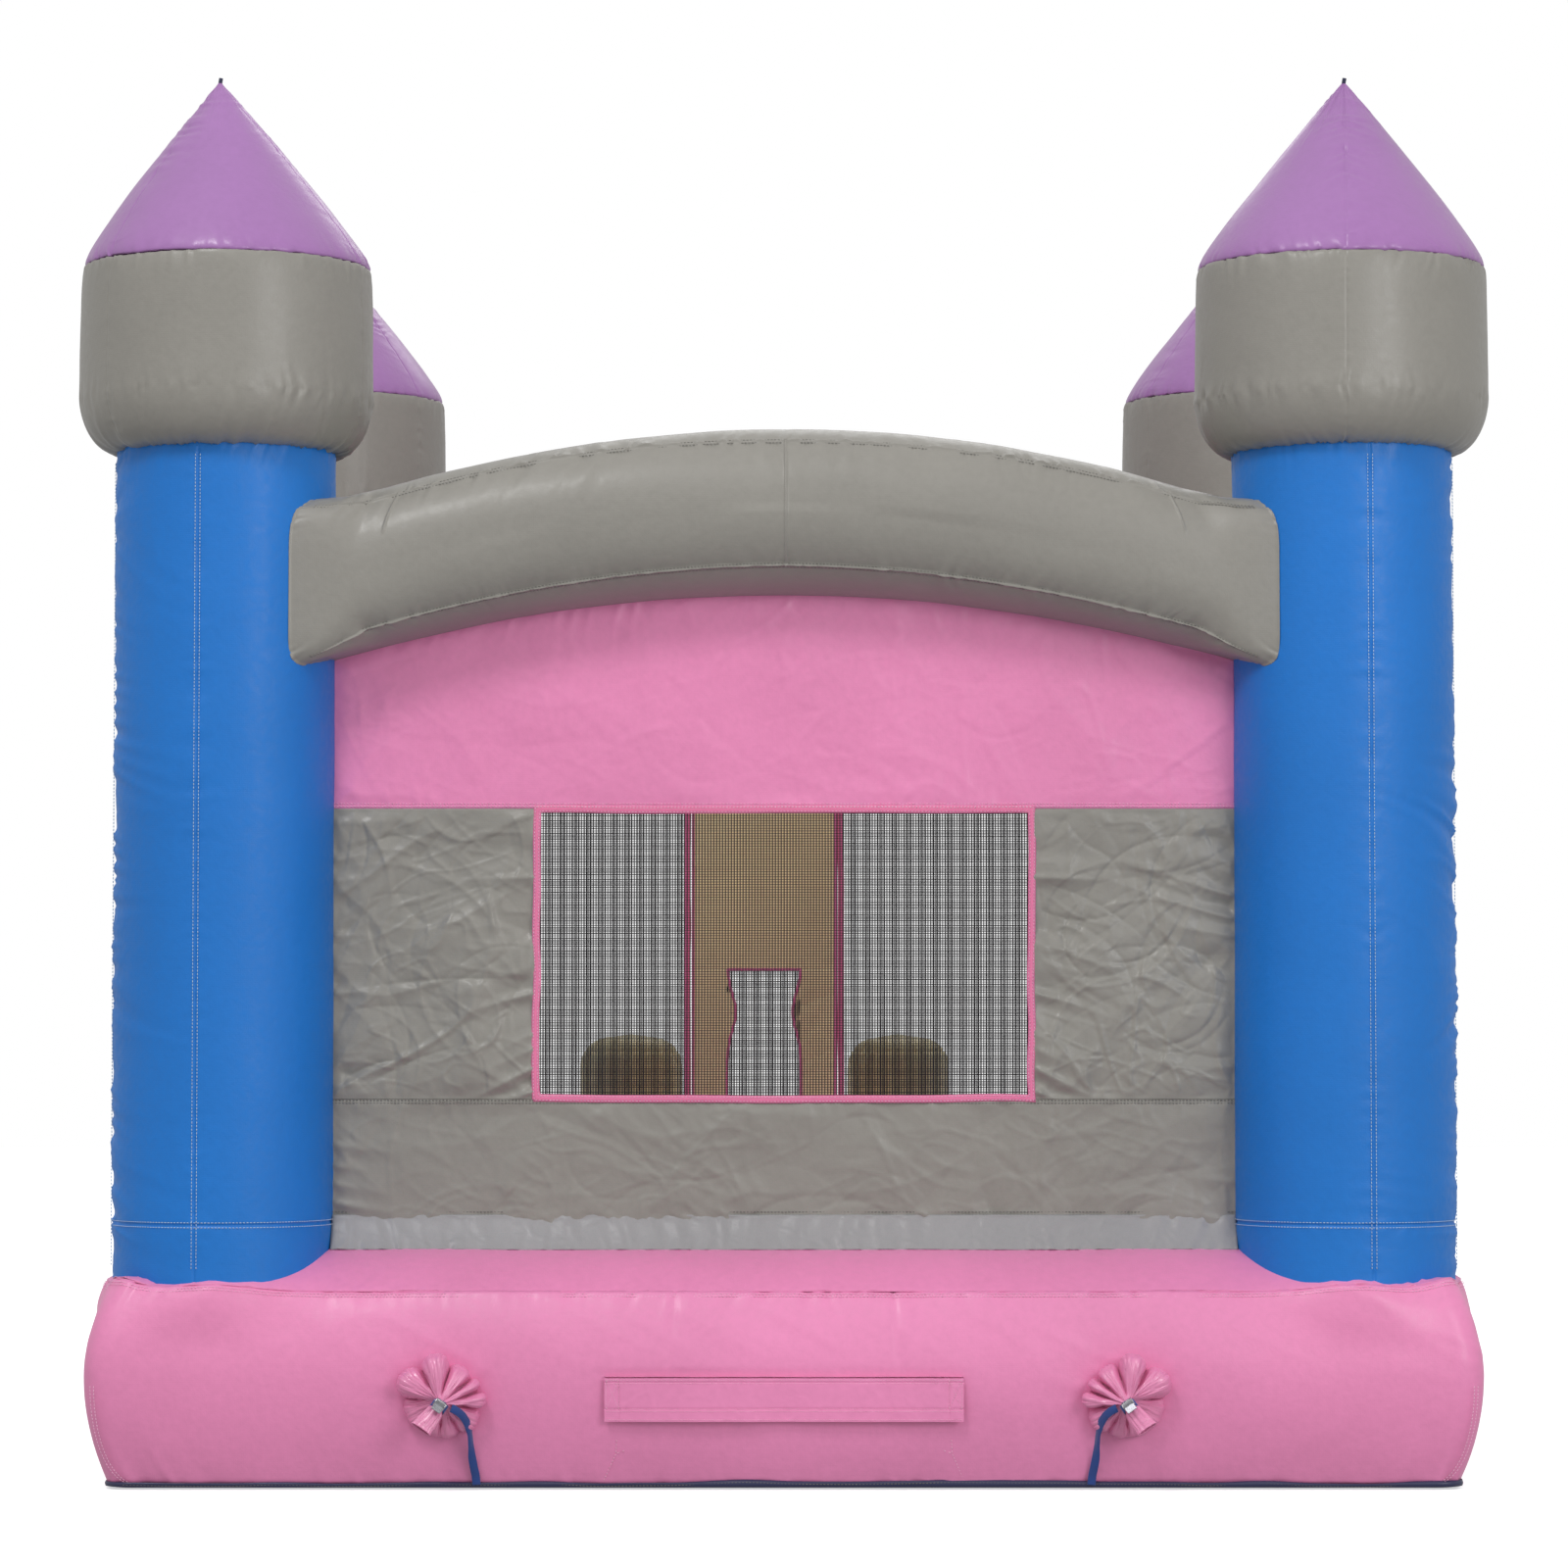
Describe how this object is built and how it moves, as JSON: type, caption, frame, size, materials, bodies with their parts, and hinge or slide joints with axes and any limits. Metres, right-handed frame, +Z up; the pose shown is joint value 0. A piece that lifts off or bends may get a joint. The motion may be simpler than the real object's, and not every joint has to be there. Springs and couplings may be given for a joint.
{
  "type": "inflatable bounce house",
  "caption": "Square inflatable bounce house with four round corner towers under cones, arches between them, mesh windows, a hanging door flap, an entrance ramp and tied-off air tubes.",
  "frame": {"origin": "centre of the base's flat underside, level with the floor", "axes": "+Z up; +Y towards the entrance; -Y is the blower side with the two air tubes and the zipper; +X to the right when seen from the blower side"},
  "size_m": [4.0959, 5.1137, 4.06],
  "materials": {
    "bottom_vinyl": "satin",
    "pink_vinyl": "satin",
    "floor_vinyl": "satin",
    "web_fabric": "matte",
    "blue_vinyl": "satin",
    "grey_vinyl": "satin",
    "purple_vinyl": "satin",
    "window_mesh": "matte",
    "binding_tape": "satin",
    "yellow_vinyl": "satin",
    "blue_webbing": "matte",
    "buckle_metal": "polished",
    "cam_metal": "satin",
    "zipper_coil": "matte",
    "slider_metal": "polished",
    "anchor_webbing": "matte",
    "ring_steel": "polished"
  },
  "bodies": {
    "house": {"air_tube_left": "pink_vinyl", "air_tube_right": "pink_vinyl", "anchor_tabs": "anchor_webbing", "arch_front": "grey_vinyl", "arch_left": "grey_vinyl", "arch_rear": "grey_vinyl", "arch_right": "grey_vinyl", "base_side_wall": "pink_vinyl", "bottom_sheet": "bottom_vinyl", "buckle_frames": "buckle_metal", "column_front_left": "blue_vinyl", "column_front_right": "blue_vinyl", "column_rear_left": "blue_vinyl", "column_rear_right": "blue_vinyl", "cone_front_left": "purple_vinyl", "cone_front_right": "purple_vinyl", "cone_rear_left": "purple_vinyl", "cone_rear_right": "purple_vinyl", "drum_front_left": "grey_vinyl", "drum_front_right": "grey_vinyl", "drum_rear_left": "grey_vinyl", "drum_rear_right": "grey_vinyl", "entrance_ramp": "yellow_vinyl", "floor_baffles": "web_fabric", "jump_floor": "floor_vinyl", "lower_panel_front": "grey_vinyl", "lower_panel_left": "grey_vinyl", "lower_panel_rear": "grey_vinyl", "lower_panel_right": "grey_vinyl", "ramp_post_left": "yellow_vinyl", "ramp_post_right": "yellow_vinyl", "side_panels_left": "grey_vinyl", "side_panels_rear": "grey_vinyl", "side_panels_right": "grey_vinyl", "tie_bands": "blue_webbing", "tie_strap_left": "blue_webbing", "tie_strap_right": "blue_webbing", "top_panel_front": "pink_vinyl", "top_panel_left": "pink_vinyl", "top_panel_rear": "pink_vinyl", "top_panel_right": "pink_vinyl", "wall_skirts": "grey_vinyl", "window_binding_front": "binding_tape", "window_binding_left": "binding_tape", "window_binding_rear": "binding_tape", "window_binding_right": "binding_tape", "window_mesh_front": "window_mesh", "window_mesh_left": "window_mesh", "window_mesh_rear": "window_mesh", "window_mesh_right": "window_mesh", "zipper_tape": "zipper_coil"},
    "door_flap": {"door_flap": "yellow_vinyl"},
    "zipper_flap": {"zipper_flap": "pink_vinyl"},
    "zipper_slider": {"zipper_slider": "slider_metal"},
    "buckle_cam_left": {"buckle_cam_left": "cam_metal"},
    "buckle_cam_right": {"buckle_cam_right": "cam_metal"},
    "anchor_ring_rear_left": {"anchor_ring_rear_left": "ring_steel"},
    "anchor_ring_rear_right": {"anchor_ring_rear_right": "ring_steel"},
    "anchor_ring_front_right": {"anchor_ring_front_right": "ring_steel"},
    "anchor_ring_front_left": {"anchor_ring_front_left": "ring_steel"}
  },
  "joints": [
    {"name": "door_flap_hinge", "type": "hinge", "parent": "house", "child": "door_flap", "pos_m": [-0.07, 1.602, 2.108], "axis": [1, 0, 0], "range_deg": [-70, 70]},
    {"name": "zipper_flap_hinge", "type": "hinge", "parent": "house", "child": "zipper_flap", "pos_m": [0, -1.9935, 0.318], "axis": [-1, 0, 0], "range_deg": [0, 150]},
    {"name": "zipper_slide", "type": "slide", "parent": "house", "child": "zipper_slider", "axis": [-1, 0, 0], "range_m": [0, 0.91]},
    {"name": "buckle_cam_left_hinge", "type": "hinge", "parent": "house", "child": "buckle_cam_left", "pos_m": [-0.96022, -2.09509, 0.25411], "axis": [-0.8192, 0, 0.5736], "range_deg": [0, 95], "stiffness_Nm_per_rad": 0.02},
    {"name": "buckle_cam_right_hinge", "type": "hinge", "parent": "house", "child": "buckle_cam_right", "pos_m": [0.96022, -2.09509, 0.25411], "axis": [-0.8192, 0, -0.5736], "range_deg": [0, 95], "stiffness_Nm_per_rad": 0.02},
    {"name": "anchor_ring_rear_left_hinge", "type": "hinge", "parent": "house", "child": "anchor_ring_rear_left", "pos_m": [-1.992, -1.4, 0.11], "axis": [0, 1, 0], "range_deg": [0, 110]},
    {"name": "anchor_ring_rear_right_hinge", "type": "hinge", "parent": "house", "child": "anchor_ring_rear_right", "pos_m": [1.992, -1.4, 0.11], "axis": [0, -1, 0], "range_deg": [0, 110]},
    {"name": "anchor_ring_front_right_hinge", "type": "hinge", "parent": "house", "child": "anchor_ring_front_right", "pos_m": [1.992, 1.4, 0.11], "axis": [0, -1, 0], "range_deg": [0, 110]},
    {"name": "anchor_ring_front_left_hinge", "type": "hinge", "parent": "house", "child": "anchor_ring_front_left", "pos_m": [-1.992, 1.4, 0.11], "axis": [0, 1, 0], "range_deg": [0, 110]}
  ]
}
